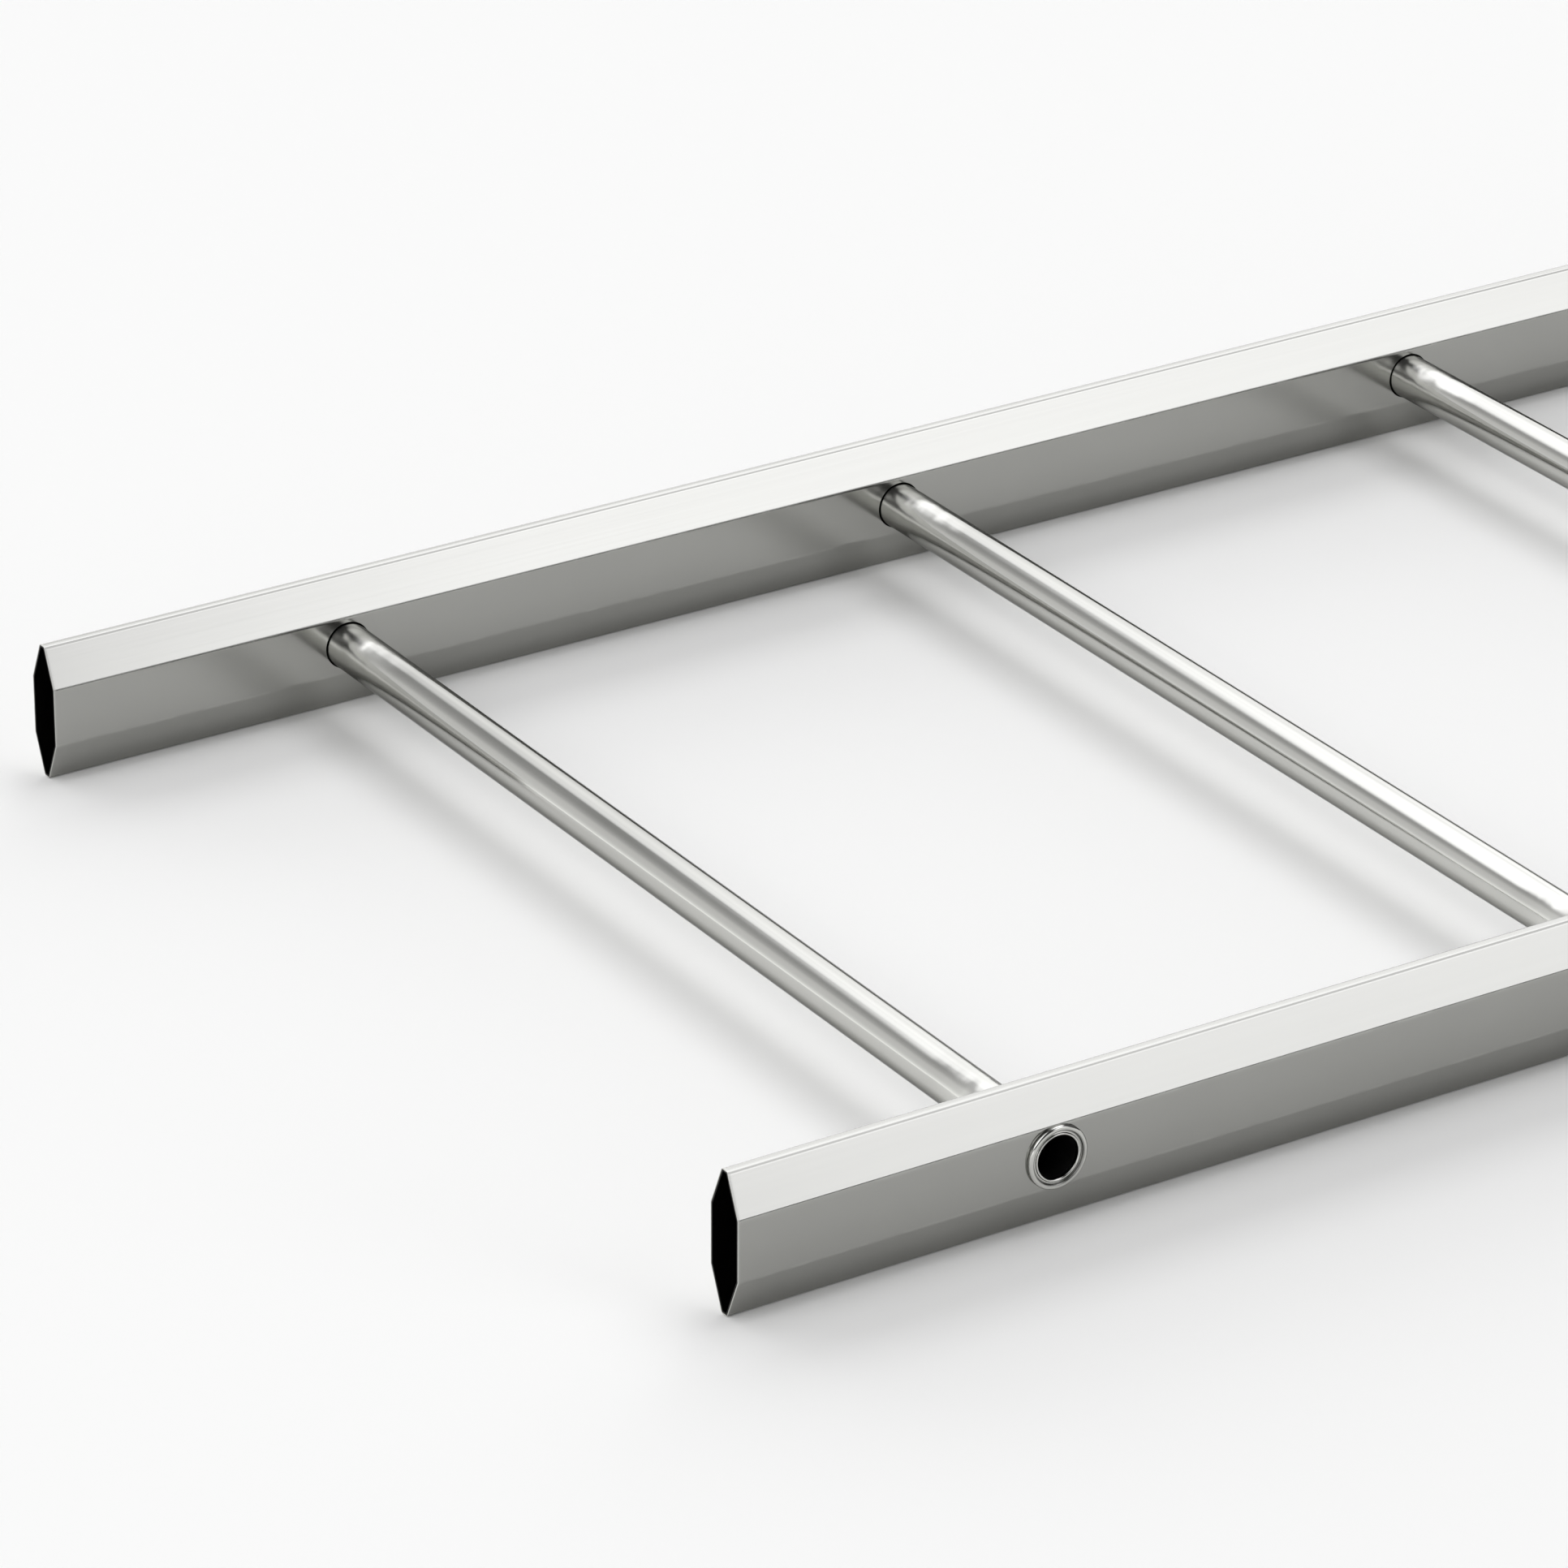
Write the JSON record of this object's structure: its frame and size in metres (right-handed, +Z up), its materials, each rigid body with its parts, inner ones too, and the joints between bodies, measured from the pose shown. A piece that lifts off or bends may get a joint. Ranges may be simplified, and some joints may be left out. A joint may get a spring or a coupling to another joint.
{
  "type": "cable ladder section",
  "caption": "Straight cable ladder section with closed hexagonal side rails and round tubular rungs whose ends are rolled over outside the rails.",
  "frame": {"origin": "middle of the footprint, on the floor that the rails stand on", "axes": "+X along the rails, +Y across the ladder from the front rail to the back rail, +Z up"},
  "size_m": [3, 0.5986, 0.065],
  "materials": {
    "rail": "bright, smooth",
    "rung": "bright, smooth"
  },
  "bodies": {
    "root": {"side_rail_front": "rail", "side_rail_back": "rail", "rung_01": "rung", "rung_02": "rung", "rung_03": "rung", "rung_04": "rung", "rung_05": "rung", "rung_06": "rung", "rung_07": "rung", "rung_08": "rung", "rung_09": "rung", "rung_10": "rung"}
  },
  "joints": []
}
